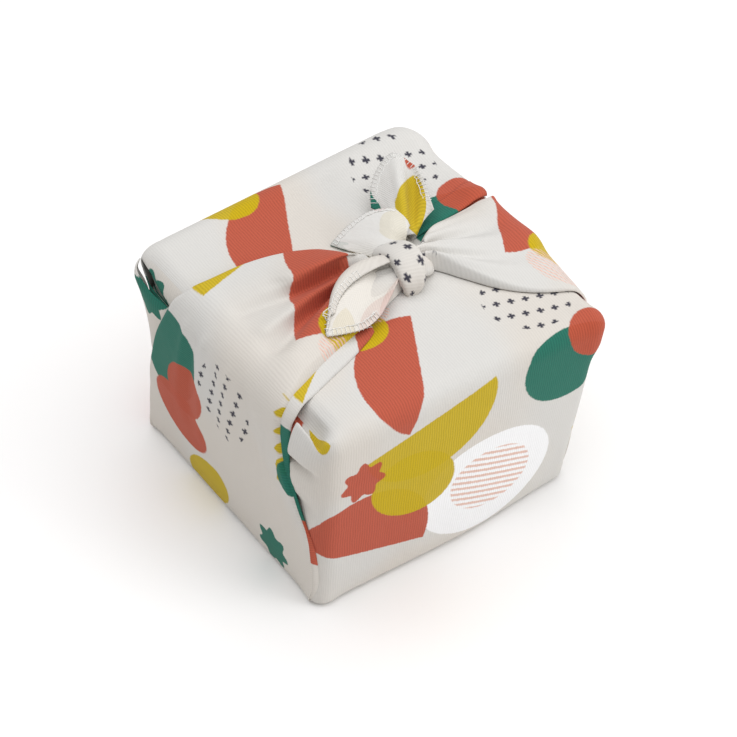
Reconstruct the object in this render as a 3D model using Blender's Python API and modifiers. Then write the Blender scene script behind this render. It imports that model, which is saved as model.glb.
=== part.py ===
"""Furoshiki wrap: one square cotton cloth folded round a box-shaped bundle and knotted on top.

Metres, +Z up. The origin is the centre of the underside. The cloth's two tied ends come up the -X and
+X sides and meet in the knot; the other two corners are folded flat over the top. The bundle itself is
not modelled: the cloth is a hollow shell with its pocket open at one top corner.
"""

import math

import bmesh
import bpy
from mathutils import Vector

MM = 0.001

# Driving sizes of the wrapped form
WIDE = 164 * MM  # along X at the top
DEEP = 157 * MM  # along Y at the top
TALL = 116 * MM  # from the underside to the flat of the top
FOOT_SHARE = 0.95  # the foot is this share of the top
FOOT_SHARE_RIGHT = 0.945  # and this one along the +X half
RIGHT_FOOT_IN = 5.5 * MM  # how far the foot's right corner is drawn in
EDGE_ROUND = 10 * MM
FOOT_ROUND = 4 * MM
TOP_PUFF = 4 * MM
SIDE_PUFF = 2 * MM
CLOTH = 1.6 * MM  # body layers, pressed together
FLAP_CLOTH = 1.3 * MM
FREE_END_CLOTH = 1.0 * MM
FLAP_GAP = 1.0 * MM  # air between a flap and the body

HALF_X = WIDE / 2
HALF_Y = DEEP / 2

BODY_CELLS = 12  # cells along each side of the body's grid
FINGER = 0.001 * MM


def blend(low, high, value):
    """0 below low, 1 above high, smooth between."""
    share = min(max((value - low) / (high - low), 0.0), 1.0)
    return share * share * (3 - 2 * share)


def read_rows(rows, at):
    """The later columns of a table at a value of its first column, on a smooth curve through the rows."""
    last = len(rows) - 1
    at = min(max(at, rows[0][0]), rows[last][0])
    low = max(k for k in range(last) if rows[k][0] <= at)
    step = rows[low + 1][0] - rows[low][0]
    share = (at - rows[low][0]) / step

    def slope(k, column):
        before, after = max(k - 1, 0), min(k + 1, last)
        return (rows[after][column] - rows[before][column]) / (rows[after][0] - rows[before][0])

    found = []
    for column in range(1, len(rows[0])):
        start, end = rows[low][column], rows[low + 1][column]
        bend_start, bend_end = slope(low, column) * step, slope(low + 1, column) * step
        found.append(
            start * (2 * share**3 - 3 * share**2 + 1)
            + bend_start * (share**3 - 2 * share**2 + share)
            + end * (3 * share**2 - 2 * share**3)
            + bend_end * (share**3 - share**2)
        )
    return found


# ---- the wrapped form: where a point of a plain box lies once the cloth is round it ----

# Soft ridges (+) and troughs (-). Each row: name, from, to, half width at both ends, height at both
# ends, all in mm, and the way the fold leans, as a share of its height
BODY_FOLDS = (
    ("left corner point", (-82, 78, 115), (-82, 78, 107), (6, 6), (5.5, 3.5), (0, 0, 0)),
    ("left corner drawn in", (-82, 78, 90), (-82, 78, 36), (9, 9), (-2.0, -1.4), (0, 0, 0)),
    ("right corner point", (82, -78, 116), (82, -78, 98), (9, 9), (3.0, 3.0), (0, 0, 0)),
    ("back corner point", (82, 78, 116), (82, 74, 115), (9, 9), (2.6, 2.6), (0, 0, 0)),
    ("front foot corner", (-82, -78, 0), (-82, -78, 4), (9, 9), (2.4, 2.4), (0, 0, 0)),
    ("left foot corner", (-82, 78, 0), (-82, 78, 4), (9, 9), (2.4, 2.4), (0, 0, 0)),
    ("back foot corner", (82, 78, 0), (82, 78, 4), (9, 9), (2.4, 2.4), (0, 0, 0)),
    ("back edge drawn sharp", (-70, 78, 114), (70, 78, 114), (8, 8), (4.0, 6.0), (0, 0, 0)),
    ("back edge pulled out", (-60, 80, 114), (62, 80, 114), (18, 18), (2.0, 3.5), (0, 0, 0)),
    ("side edge drawn sharp", (82, 64, 114), (82, 32, 114), (9, 9), (2.0, 6.5), (0, 0, 0)),
)


def fold_shift(place, out, folds):
    """How far the folds of a table move a point of the surface whose outward way is out."""
    shift = Vector()
    for _, start, end, half_widths, heights, lean in folds:
        start, end = Vector(start) * MM, Vector(end) * MM
        run = end - start
        share = min(max((place - start).dot(run) / run.length_squared, 0.0), 1.0)
        half_width = (half_widths[0] * (1 - share) + half_widths[1] * share) * MM
        height = (heights[0] * (1 - share) + heights[1] * share) * MM
        away = (place - start - run * share).length / half_width
        shift += (out + Vector(lean)) * height * math.exp(-away * away)
    return shift


def wrapped(x, y, z):
    """The place on the cloth, and the way out of it, for a point on the plain box."""
    core = Vector(
        (
            min(max(x, -HALF_X + EDGE_ROUND), HALF_X - EDGE_ROUND),
            min(max(y, -HALF_Y + EDGE_ROUND), HALF_Y - EDGE_ROUND),
            min(max(z, FOOT_ROUND), TALL - EDGE_ROUND),
        )
    )
    radius_z = FOOT_ROUND if z < TALL / 2 else EDGE_ROUND
    radii = Vector((EDGE_ROUND, EDGE_ROUND, radius_z))
    reach = Vector((x, y, z)) - core
    out = Vector(length / radius for length, radius in zip(reach, radii)).normalized()
    place = core + Vector(share * radius for share, radius in zip(out, radii))
    place += fold_shift(place, out, BODY_FOLDS)
    level = min(max(place.z / TALL, 0.0), 1.0)
    share_x, share_y = place.x / HALF_X, place.y / HALF_Y
    round_x, round_y = max(0.0, 1 - share_x**2), max(0.0, 1 - share_y**2)
    puff = SIDE_PUFF * 4 * level * (1 - level)
    place.x += math.copysign(puff * round_y * abs(share_x) ** 6, place.x)
    place.y += math.copysign(puff * round_x * abs(share_y) ** 6, place.y)
    place.z += TOP_PUFF * round_x * round_y * level**8
    narrow_x = FOOT_SHARE_RIGHT if place.x > 0 else FOOT_SHARE
    drawn_in = RIGHT_FOOT_IN * (1 - level) * blend(0, HALF_X, place.x) * blend(0, HALF_Y, -place.y)
    place.x *= narrow_x + (1 - narrow_x) * level
    place.y = place.y * (FOOT_SHARE + (1 - FOOT_SHARE) * level) + drawn_in
    return place, out


def on_side(up, across, side):
    """A point of the plain box met by going up the -X (side -1) or +X (side 1) wall and over the top."""
    over = max(0.0, up - TALL)
    round_corner = max(0.0, abs(across) - HALF_Y)
    x = side * (HALF_X - over - round_corner)
    y = math.copysign(min(abs(across), HALF_Y), across)
    return wrapped(x, y, min(up, TALL))


# ---- mesh helpers ----


def new_object(name, bm, collection):
    mesh = bpy.data.meshes.new(name)
    bmesh.ops.recalc_face_normals(bm, faces=bm.faces)
    bm.to_mesh(mesh)
    bm.free()
    mesh.shade_smooth()
    made = bpy.data.objects.new(name, mesh)
    collection.objects.link(made)
    return made


def sheet_object(name, surface, cells_along, cells_across, thickness, collection):
    """A thin sheet: a flat grid whose points go to surface(along, across), both from 0 to 1."""
    bm = bmesh.new()
    bmesh.ops.create_grid(bm, x_segments=cells_along, y_segments=cells_across, size=0.5)
    for vert in bm.verts:
        vert.co = surface(vert.co.x + 0.5, vert.co.y + 0.5)
    made = new_object(name, bm, collection)
    solid = made.modifiers.new("cloth", "SOLIDIFY")
    solid.thickness = thickness
    solid.offset = 0
    return made


def bundle_object(name, rows, wide_way, cells_along, cells_round, collection):
    """A soft closed bundle down its table, with its width lying the way that wide_way says."""
    bm = bmesh.new()
    bmesh.ops.create_uvsphere(bm, u_segments=cells_round, v_segments=cells_along, radius=1)
    for vert in bm.verts:
        turn = math.atan2(vert.co.y, vert.co.x)
        share = 0.5 - math.asin(max(-1.0, min(1.0, vert.co.z))) / math.pi
        x, y, z, wide, thick = read_rows(rows, share)
        ahead = Vector(read_rows(rows, share + 0.02)[:3]) - Vector(read_rows(rows, share - 0.02)[:3])
        ahead.normalize()
        side = Vector(wide_way)
        side = (side - ahead * side.dot(ahead)).normalized()
        rise = side.cross(ahead)
        girth = math.sqrt(max(0.0, 1 - (2 * share - 1) ** 6))
        place = Vector((x, y, z)) + side * (wide * girth * math.cos(turn))
        vert.co = (place + rise * (thick * girth * math.sin(turn))) * MM
    bmesh.ops.remove_doubles(bm, verts=bm.verts, dist=FINGER)
    return new_object(name, bm, collection)


# ---- the body: foot, four walls and the two corners folded over the top ----

# The pocket at the left corner, an almond-shaped opening that slants along the -X wall
# share of its length, x, y, z, half width, half depth
POCKET = (
    (0.00, -80, 80, 106, 1.5, 6),
    (0.20, -80, 75.5, 104.5, 3.6, 6),
    (0.50, -80, 67, 102.5, 3.6, 6),
    (0.80, -80, 57, 100.5, 1.8, 6),
    (1.00, -80, 50, 99.5, 0.6, 6),
)
# The dart at the front corner, beyond the pleat: rows like the body's folds
DART_FOLDS = (
    ("nose, inner half", (-82, -44, 103), (-80, -60, 101), (5.0, 5.5), (4.6, 4.8), (0, 0, -0.5)),
    ("nose, outer half", (-80, -60, 101), (-79, -74, 105), (5.5, 6.0), (1.8, 0.2), (0, 0, -0.2)),
    ("hollow over the nose", (-79, -44, 114), (-79, -64, 110), (6.5, 6.0), (-5.0, -2.6), (0, 0, 0)),
    ("shadow under the nose", (-82, -44, 90), (-82, -61, 90), (4.5, 4.0), (-4.0, -0.8), (0, 0, 0)),
    ("second fold", (-82, -46, 80), (-80, -74, 86), (6.0, 6.0), (3.4, 0.6), (0, 0, -0.4)),
    ("under the second fold", (-82, -50, 66), (-82, -70, 70), (5.0, 5.0), (-1.8, -0.4), (0, 0, 0)),
)
DART_RISE = 4 * MM  # the dart's folds come up over this much beyond the pleat's edge
DART_CUTS = 2  # extra cuts through each body cell where they lie
DART_ACROSS = (-75 * MM, -36 * MM)
DART_UP = (58 * MM, 112 * MM)


def dart_shift(x, y, place, out):
    """How far the dart moves a point of the body."""
    up = place.z + HALF_X + max(x, -HALF_X)
    edge = read_rows(PLEAT, up / MM)[1] * MM
    return fold_shift(place, out, DART_FOLDS) * blend(0, DART_RISE, edge - y)


def crowd(share):
    """Draws evenly spaced grid lines towards the edges of the form."""
    return share * (1.5 - 0.5 * share * share)


def make_body(collection):
    bm = bmesh.new()
    bmesh.ops.create_cube(bm, size=2)
    bmesh.ops.subdivide_edges(bm, edges=bm.edges, cuts=BODY_CELLS - 1, use_grid_fill=True)
    dart_edges = set()
    for face in bm.faces:
        centre = face.calc_center_median()
        across = crowd(centre.y) * HALF_Y
        up = (crowd(centre.z) + 1) * TALL / 2
        beside_dart = DART_ACROSS[0] < across < DART_ACROSS[1] and DART_UP[0] < up < DART_UP[1]
        if centre.x < -0.99 and beside_dart:
            dart_edges.update(face.edges)
    bmesh.ops.subdivide_edges(bm, edges=list(dart_edges), cuts=DART_CUTS, use_grid_fill=True)
    for vert in bm.verts:
        x, y, z = (crowd(value) for value in vert.co)
        place, out = wrapped(x * HALF_X, y * HALF_Y, (z + 1) * TALL / 2)
        vert.co = place + dart_shift(x * HALF_X, y * HALF_Y, place, out)
    body = new_object("cloth", bm, collection)
    solid = body.modifiers.new("layers", "SOLIDIFY")
    solid.thickness = CLOTH
    solid.offset = -1
    return body


# ---- the two tied ends, each a flap from the foot of its wall to the knot ----

# up: path from the foot, up the wall and along the top; left, right: its edges across the wall;
# lift: how far the flap stands off the body; swell: the extra height of its middle
FLAP_C = (
    # up, left, right, lift, swell
    (5, 72, -72, -1.9, 0),
    (14, 73, -73, 0.0, 0),
    (30, 72, -72, 0.2, 0.3),
    (46, 70, -69, 0.3, 0.8),
    (60, 66, -60.5, 0.4, 1.2),
    (78, 60, -51, 0.5, 1.5),
    (97, 51, -46, 0.6, 1.2),
    (115, 42.5, -45, 0.8, 0.8),
    (126, 40, -42, 0.8, 0.6),
    (148, 39, -34, 0.8, 0.4),
    (166, 35, -29, 1.0, 0.4),
    (182, 27, -24, 1.6, 0.5),
    (194, 14, -19, 2.4, 0.6),
    (205, 4, -15, 3.0, 0.6),
)
FLAP_D = (
    (5, 72, -72, -1.9, 0),
    (14, 73, -73, 0.0, 0),
    (30, 72, -72, 0.2, 0.5),
    (55, 62, -72, 0.0, 0.6),
    (80, 42, -69, 0.0, 1.4),
    (100, 26, -63, 0.0, 1.8),
    (115, 19, -60.5, 0.0, 2.0),
    (126, 16.5, -56.5, 0.1, 1.8),
    (141, 14.5, -47.5, 0.5, 1.6),
    (153, 13.5, -38, 1.4, 1.2),
    (163, 10, -26, 3.0, 0.8),
    (171, 3, -15, 5.0, 0.6),
)
# Height of the gathers across a flap beside the knot, from its +Y edge (0) to its -Y edge (1), in mm
GATHERS_C = (
    (0.00, 0.4),
    (0.10, 2.2),
    (0.26, 4.2),
    (0.38, 3.6),
    (0.46, 0.2),
    (0.54, 0.6),
    (0.60, 0.2),
    (0.70, 0.8),
    (0.84, 1.4),
    (0.94, 1.0),
    (1.00, 0.6),
)
GATHERS_D = (
    (0.00, 0.6),
    (0.12, 3.6),
    (0.22, 2.6),
    (0.28, 0.2),
    (0.40, 3.4),
    (0.52, 2.8),
    (0.60, 0.2),
    (0.76, 3.6),
    (0.90, 2.6),
    (1.00, 0.2),
)
EDGE_ROLL = 0.07  # share of the width in which a flap's edge turns down
EDGE_DROP = 0.7 * MM

# Folds that run out from the knot on top of the gathers, as rows like the body's
FOLDS_C = (
    ("fold over the valley", (12, 15, 119), (-38, 17, 118), (4.0, 6.0), (4.0, 2.2), (0, -0.6, 0)),
    ("valley", (2, 5, 119), (-40, 0, 118), (3.5, 5.0), (-2.8, -2.4), (0, 0, 0)),
    ("roll beside the valley", (-16, -8, 119), (-62, -28, 116), (6.0, 12.0), (2.2, 2.0), (0, 0, 0)),
    ("pull down the wall", (-80, -6, 112), (-82, -16, 40), (10.0, 14.0), (1.0, 0.4), (0, 0, 0)),
    ("slack left of the pull", (-80, 18, 112), (-82, 22, 50), (7.0, 10.0), (-0.7, -0.4), (0, 0, 0)),
)
FOLDS_D = (
    ("pull down the wall", (82, -14, 112), (82, -24, 40), (10.0, 14.0), (1.0, 0.4), (0, 0, 0)),
)


def flap_surface(rows, gathers, folds, side, gather_from, gather_full):
    """Surface of a tied end, from its foot (along 0) to the knot (1) and from +Y (across 0) to -Y."""
    first, last = rows[0][0], rows[-1][0]

    def surface(along, across):
        up = first + (last - first) * along
        left, right, lift, swell = read_rows(rows, up)
        place, out = on_side(up * MM, (left + (right - left) * across) * MM, side)
        rise = (lift + swell * math.sin(math.pi * across)) * MM
        rise += read_rows(gathers, across)[0] * MM * blend(gather_from, gather_full, up)
        to_edge = min(across, 1 - across) / EDGE_ROLL
        rise -= EDGE_DROP * math.exp(-to_edge * to_edge)
        return place + out * (FLAP_GAP + FLAP_CLOTH / 2 + rise) + fold_shift(place, out, folds)

    return surface


# ---- small folds beside the flaps ----

# Pleat that shows beyond the -Y edge of the first flap: up, inner edge, outer edge, lift
PLEAT = (
    (4, -68, -75, -0.6),
    (16, -69, -77, 0.4),
    (43, -64, -72, 0.8),
    (60, -55, -62, 0.9),
    (72, -48, -55.5, 0.9),
    (84, -44, -52, 0.9),
    (98, -40, -51.5, 0.9),
    (115, -38, -51.5, 0.9),
    (127, -35, -49, 0.9),
    (143, -29, -44, 0.9),
    (160, -25, -38.5, 1.0),
    (172, -23, -33.5, 1.2),
    (176, -23, -31, 1.2),
)

# Layer tucked behind the first flap at the left corner: across, top edge (mm up), its stand-off
TUCK = (
    # across, top, stand_off
    (38, 97, 0.2),
    (46, 99, 0.6),
    (54, 101, 2.6),
    (61, 102.5, 3.8),
    (67, 104, 3.0),
    (72, 107, 1.0),
    (75, 110, -0.6),
)
TUCK_FOOT = 52  # mm up the wall where it leaves the body


def pleat_surface(along, across):
    up = PLEAT[0][0] + (PLEAT[-1][0] - PLEAT[0][0]) * along
    inner, outer, lift = read_rows(PLEAT, up)
    place, out = on_side(up * MM, (inner + (outer - inner) * across) * MM, -1)
    return place + out * (lift + 0.5 * math.sin(math.pi * across)) * MM


def tuck_surface(along, across):
    reach = TUCK[0][0] + (TUCK[-1][0] - TUCK[0][0]) * across
    top, stand_off = read_rows(TUCK, reach)
    up = TUCK_FOOT + (top - TUCK_FOOT) * along
    place, out = on_side(up * MM, reach * MM, -1)
    return place + out * (stand_off * blend(0, 1, along) ** 1.5 - 0.2) * MM


# ---- the knot and its two free ends ----

# share of its length, x, y, z, half width, half depth
KNOT_BAND = (
    (0.00, 9, 12, 116, 6, 3.6),
    (0.18, 10, 7.5, 123.5, 7, 4.2),
    (0.40, 11.5, -1, 129.5, 7.6, 4.6),
    (0.60, 11, -9.5, 130.5, 7.6, 4.6),
    (0.80, 8, -17.5, 125.5, 6.8, 4),
    (1.00, 6, -19.5, 117.5, 4.8, 3),
)
KNOT_UNDER = (
    (0.00, 2, -5, 121, 8, 3.8),
    (0.30, 10, -6, 122.5, 10, 5.6),
    (0.60, 20, -8, 123, 9.6, 6),
    (0.85, 24.5, -9, 122.5, 8, 5.2),
    (1.00, 29, -9, 121, 6, 3.4),
)

# Free ends as ribs from the knot to the cut edge: share across, then x, y, z halfway and at the edge (mm)
EAR = (
    (0.00, 23, 23.5, 125, 23, 35, 125),
    (0.15, 25, 26, 127, 27.5, 42, 129),
    (0.30, 28, 27.5, 129.5, 34.5, 48, 133),
    (0.45, 31.5, 29, 132, 41.5, 50.5, 136.5),
    (0.55, 34, 27.5, 134.5, 46, 50.5, 138),
    (0.63, 36, 26, 133, 48.5, 47, 137.5),
    (0.71, 39, 27, 128.5, 50, 43, 136.5),
    (0.80, 41.5, 25.5, 127, 51.5, 38.5, 135.5),
    (0.89, 41.5, 20.5, 128.5, 50, 30, 134),
    (0.95, 40.5, 16.5, 127.5, 47, 20.5, 131),
    (1.00, 38.5, 13.5, 125.5, 45, 14.5, 129.5),
)
LOBE = (
    (0.00, -0.5, 17.5, 121.5, -5.5, 28, 120),
    (0.20, 5, 17.5, 126, -1, 29.5, 121.5),
    (0.40, 11.5, 17, 129, 8, 31, 125),
    (0.60, 16.5, 16, 131, 17.5, 30.5, 128),
    (0.80, 20.5, 14, 132, 26, 26, 130),
    (0.90, 24, 11.5, 131, 30.5, 20.5, 130),
    (1.00, 25, 8.5, 129, 29, 12, 128),
)
LEAF = (
    (0.00, -18.5, -9.5, 130, -34.5, -17.5, 128.5),
    (0.10, -19, -3.5, 132.5, -39.5, -19.5, 129.5),
    (0.22, -20, -1, 130.5, -42.5, -22.5, 128),
    (0.34, -22.5, -6, 128, -45.5, -25.5, 126),
    (0.48, -22.5, -13, 126.5, -45.5, -27, 125.5),
    (0.64, -19.5, -19, 126, -37, -29.5, 125),
    (0.80, -14, -22, 126, -28.5, -31, 124.5),
    (0.90, -10, -22, 126.5, -22, -30, 124.5),
    (1.00, -5, -21, 127, -15.5, -27.5, 125),
)
# Where the ribs leave the knot: middle, the way its width lies, half width, half height, first turn and
# the turn from there to the last rib
EAR_NECK = ((23, 9, 123), (1, 0, 0), 8, 3.4, math.radians(180), math.radians(-180))
LOBE_NECK = ((14, 6, 123), (1, 0, 0), 8, 4.0, math.radians(180), math.radians(-180))
LEAF_NECK = ((6, -5, 127), (0, 1, 0), 7, 4, math.radians(100), math.radians(-290))


def free_end_surface(neck, ribs):
    """A free end: along runs from the knot to the cut edge, across from its first rib to its last."""
    middle, wide_way, half_width, half_height, first_turn, whole_turn = neck

    def surface(along, across):
        row = read_rows(ribs, across)
        half, edge = Vector(row[:3]), Vector(row[3:])
        turn = first_turn + whole_turn * across
        start = Vector(middle) + Vector(wide_way) * (half_width * math.cos(turn))
        start.z += half_height * math.sin(turn)
        pull = half * 2 - (start + edge) / 2
        rest = 1 - along
        return (start * rest * rest + pull * 2 * along * rest + edge * along * along) * MM

    return surface


# ---- the whole cloth ----


def main():
    for old in list(bpy.data.objects):
        bpy.data.objects.remove(old, do_unlink=True)
    wrap = bpy.data.collections.new("furoshiki_wrap")
    folds = bpy.data.collections.new("folds_joined_in")
    cutters = bpy.data.collections.new("cutters")
    for collection in (wrap, folds, cutters):
        bpy.context.scene.collection.children.link(collection)

    body = make_body(wrap)
    flap_c = flap_surface(FLAP_C, GATHERS_C, FOLDS_C, -1, 118, 186)
    flap_d = flap_surface(FLAP_D, GATHERS_D, FOLDS_D, 1, 112, 156)
    pocket = bundle_object("corner_pocket", POCKET, (0, 0.2, 1), 8, 10, cutters)
    parts = [
        sheet_object("pleat", pleat_surface, 16, 3, 1.2 * MM, folds),
        sheet_object("corner_tuck", tuck_surface, 5, 7, 1.0 * MM, folds),
        sheet_object("flap_front", flap_c, 20, 18, FLAP_CLOTH, folds),
        sheet_object("flap_back", flap_d, 16, 16, FLAP_CLOTH, folds),
        bundle_object("knot_band", KNOT_BAND, (1, 0, 0), 12, 10, folds),
        bundle_object("knot_under", KNOT_UNDER, (0, 1, 0), 9, 10, folds),
        sheet_object("free_end_ear", free_end_surface(EAR_NECK, EAR), 6, 14, FREE_END_CLOTH, folds),
        sheet_object("free_end_lobe", free_end_surface(LOBE_NECK, LOBE), 5, 9, FREE_END_CLOTH, folds),
        sheet_object("free_end_leaf", free_end_surface(LEAF_NECK, LEAF), 6, 14, FREE_END_CLOTH, folds),
    ]
    joins = [("DIFFERENCE", pocket), *(("UNION", part) for part in parts)]
    for operation, part in joins:
        part.hide_render = True
        part.display_type = "WIRE"
        joined = body.modifiers.new(part.name, "BOOLEAN")
        joined.operation = operation
        joined.solver = "EXACT"
        joined.object = part

    cotton = bpy.data.materials.new("printed_cotton")
    cotton.use_nodes = True
    shader = cotton.node_tree.nodes["Principled BSDF"]
    shader.inputs["Base Color"].default_value = (0.76, 0.72, 0.68, 1)
    shader.inputs["Roughness"].default_value = 0.85
    shader.inputs["Metallic"].default_value = 0.0
    for made in (body, pocket, *parts):
        made.data.materials.append(cotton)


main()
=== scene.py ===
import math
from itertools import product

import bmesh
import bpy
from mathutils import Euler, Matrix, Vector, noise


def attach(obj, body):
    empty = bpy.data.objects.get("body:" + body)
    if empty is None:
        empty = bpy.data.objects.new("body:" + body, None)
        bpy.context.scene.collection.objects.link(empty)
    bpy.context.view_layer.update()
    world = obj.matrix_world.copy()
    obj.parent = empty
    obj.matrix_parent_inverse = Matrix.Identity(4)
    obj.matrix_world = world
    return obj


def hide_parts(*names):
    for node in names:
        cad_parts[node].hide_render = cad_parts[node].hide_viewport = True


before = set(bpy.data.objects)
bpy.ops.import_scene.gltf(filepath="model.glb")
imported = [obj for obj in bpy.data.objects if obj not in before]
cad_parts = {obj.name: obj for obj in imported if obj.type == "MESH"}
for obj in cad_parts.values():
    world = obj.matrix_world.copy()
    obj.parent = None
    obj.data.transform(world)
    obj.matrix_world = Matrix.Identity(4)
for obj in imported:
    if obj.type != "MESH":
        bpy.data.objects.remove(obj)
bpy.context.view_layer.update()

mm = 0.001


def linear(hexColour):
    # sRGB hex to the linear colour that the shaders take
    found = []
    for start in (1, 3, 5):
        value = int(hexColour[start:start + 2], 16) / 255
        found.append(value / 12.92 if value <= 0.04045 else ((value + 0.055) / 1.055) ** 2.4)
    return (*found, 1.0)


def blend(low, high, value):
    # 0 below low, 1 above high, smooth between
    share = min(max((value - low) / (high - low), 0.0), 1.0)
    return share * share * (3 - 2 * share)


def between(low, high, share):
    return low + (high - low) * share


def readRows(rows, at):
    # the later columns of a table at a value of its first column, on a smooth curve through the rows
    last = len(rows) - 1
    at = min(max(at, rows[0][0]), rows[last][0])
    low = max(k for k in range(last) if rows[k][0] <= at)
    step = rows[low + 1][0] - rows[low][0]
    share = (at - rows[low][0]) / step
    found = []
    for column in range(1, len(rows[0])):
        start, end = rows[low][column], rows[low + 1][column]
        bends = []
        for k in (low, low + 1):
            before, after = rows[max(k - 1, 0)], rows[min(k + 1, last)]
            bends.append(step * (after[column] - before[column]) / (after[0] - before[0]))
        found.append(
            start * (2 * share**3 - 3 * share**2 + 1) + bends[0] * (share**3 - 2 * share**2 + share)
            + end * (3 * share**2 - 2 * share**3) + bends[1] * (share**3 - share**2)
        )
    return found


def foldShift(place, out, folds):
    # how far the folds of a table move a point of the surface whose outward way is out
    faded = 3  # half widths from its line, where a fold ends
    shift = Vector()
    for _, start, end, halfWidths, heights, *lean in folds:
        start, end = Vector(start) * mm, Vector(end) * mm
        run = end - start
        share = min(max((place - start).dot(run) / run.length_squared, 0.0), 1.0)
        halfWidth = between(*halfWidths, share) * mm
        away = (place - start - run * share).length / halfWidth
        if away < faded:
            height = between(*heights, share) * mm
            shift += (out + Vector(*lean)) * height * math.exp(-away * away)
    return shift


footCorners = ((-82, -78), (-82, 78), (82, 78))  # all but the one that is drawn in
wrap = {
    "wide": 164 * mm,
    "deep": 157 * mm,
    "tall": 116 * mm,
    "footShare": (0.95, 0.945),  # the foot to the top: everywhere, and on the +X side
    "rightFootIn": 5.5 * mm,  # how far the foot's right corner is drawn in
    "edgeRound": 10 * mm,
    "footRound": 4 * mm,
    "topPuff": 4 * mm,
    "sidePuff": 2 * mm,
    "puffPowers": (6, 8),  # how closely the puffs keep to the sides and the top
    "cells": 58,  # along each side of the shell
    "cloth": 0.7 * mm,
    "slackSize": 34 * mm,
    "slackHeight": 0.35 * mm,
    "slackFrom": 12 * mm,  # flat below this
    # soft ridges and troughs: name, from, to, half widths, heights (mm), and lean where there is one
    "folds": (
        ("left corner point", (-82, 78, 115), (-82, 78, 107), (6, 6), (5.5, 3.5)),
        ("left corner drawn in", (-82, 78, 90), (-82, 78, 36), (9, 9), (-2, -1.4)),
        ("right corner point", (82, -78, 116), (82, -78, 98), (9, 9), (3, 3)),
        ("back corner point", (82, 78, 116), (82, 74, 115), (9, 9), (2.6, 2.6)),
        *(("foot corner", (x, y, 0), (x, y, 4), (9, 9), (2.4, 2.4)) for x, y in footCorners),
        ("sharp back edge", (-70, 78, 114), (70, 78, 114), (8, 8), (2.6, 6.6)),
        ("back edge pulled out", (-60, 80, 114), (62, 80, 114), (18, 18), (1.4, 4.6)),
        ("sharp side edge", (82, 64, 114), (82, 26, 114), (9, 9), (1.2, 5)),
    ),
    # only where a tied end lies over it
    "hollows": (
        ("under the front tied end", (-14, 3, 119), (-60, -4, 118), (9, 14), (-7, -5)),
    ),
}
halfX, halfY, tall = wrap["wide"] / 2, wrap["deep"] / 2, wrap["tall"]


def wrapped(x, y, z):
    # the place on the cloth, and the way out of it, for a point on the plain box
    edge, foot = wrap["edgeRound"], wrap["footRound"]
    core = Vector((
        min(max(x, -halfX + edge), halfX - edge),
        min(max(y, -halfY + edge), halfY - edge),
        min(max(z, foot), tall - edge),
    ))
    radii = Vector((edge, edge, foot if z < tall / 2 else edge))
    reach = Vector((x, y, z)) - core
    out = Vector(length / radius for length, radius in zip(reach, radii)).normalized()
    place = core + Vector(share * radius for share, radius in zip(out, radii))
    place += foldShift(place, out, wrap["folds"])
    place.z = max(place.z, 0.0)
    level = min(max(place.z / tall, 0.0), 1.0)
    shareX, shareY = place.x / halfX, place.y / halfY
    roundX, roundY = max(0.0, 1 - shareX**2), max(0.0, 1 - shareY**2)
    puff = wrap["sidePuff"] * 4 * level * (1 - level)
    sidePower, topPower = wrap["puffPowers"]
    place.x += math.copysign(puff * roundY * abs(shareX) ** sidePower, place.x)
    place.y += math.copysign(puff * roundX * abs(shareY) ** sidePower, place.y)
    place.z += wrap["topPuff"] * roundX * roundY * level**topPower
    footShare, footShareX = wrap["footShare"]
    if place.x < 0:
        footShareX = footShare
    drawnIn = wrap["rightFootIn"] * (1 - level) * blend(0, halfX, place.x) * blend(0, halfY, -place.y)
    place.x *= footShareX + (1 - footShareX) * level
    place.y = place.y * (footShare + (1 - footShare) * level) + drawnIn
    return place, out


def slackRise(place):
    # the slight rise and fall of slack cloth
    return wrap["slackHeight"] * noise.noise(place / wrap["slackSize"])


def onSide(up, across, side):
    # a point of the plain box met by going up the -X (side -1) or +X (side 1) wall and over the top
    over = max(0.0, up - tall)
    roundCorner = max(0.0, abs(across) - halfY)
    x = side * (halfX - over - roundCorner)
    y = math.copysign(min(abs(across), halfY), across)
    return wrapped(x, y, min(up, tall))


planName = "clothPlan"  # every surface gives a place, and the same point on the flat cloth


def addObject(name, data):
    made = bpy.data.objects.new(name, data)
    bpy.context.scene.collection.objects.link(made)
    return made


def meshObject(name, bm, materials):
    mesh = bpy.data.meshes.new(name)
    bm.to_mesh(mesh)
    bm.free()
    mesh.shade_smooth()
    for material in materials:
        mesh.materials.append(material)
    return addObject(name, mesh)


def putPlans(bm, plans):
    planLayer = bm.loops.layers.uv.new(planName)
    for face in bm.faces:
        for loop in face.loops:
            loop[planLayer].uv = plans[loop.vert]


def thickened(made, offset):
    solid = made.modifiers.new("cloth", "SOLIDIFY")
    solid.thickness = wrap["cloth"]
    solid.offset = offset
    solid.material_offset = 1
    return made


def sheetObject(name, surface, cells, materials, flip=False):
    # a sheet of cloth on a grid; the first material is on the side its faces point to
    bm = bmesh.new()
    bmesh.ops.create_grid(bm, x_segments=cells[0], y_segments=cells[1], size=0.5)
    plans = {}
    for vert in bm.verts:
        vert.co, plans[vert] = surface(vert.co.x + 0.5, vert.co.y + 0.5)
    putPlans(bm, plans)
    if flip:
        bmesh.ops.reverse_faces(bm, faces=bm.faces)
    return thickened(meshObject(name, bm, materials), 0)


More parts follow.
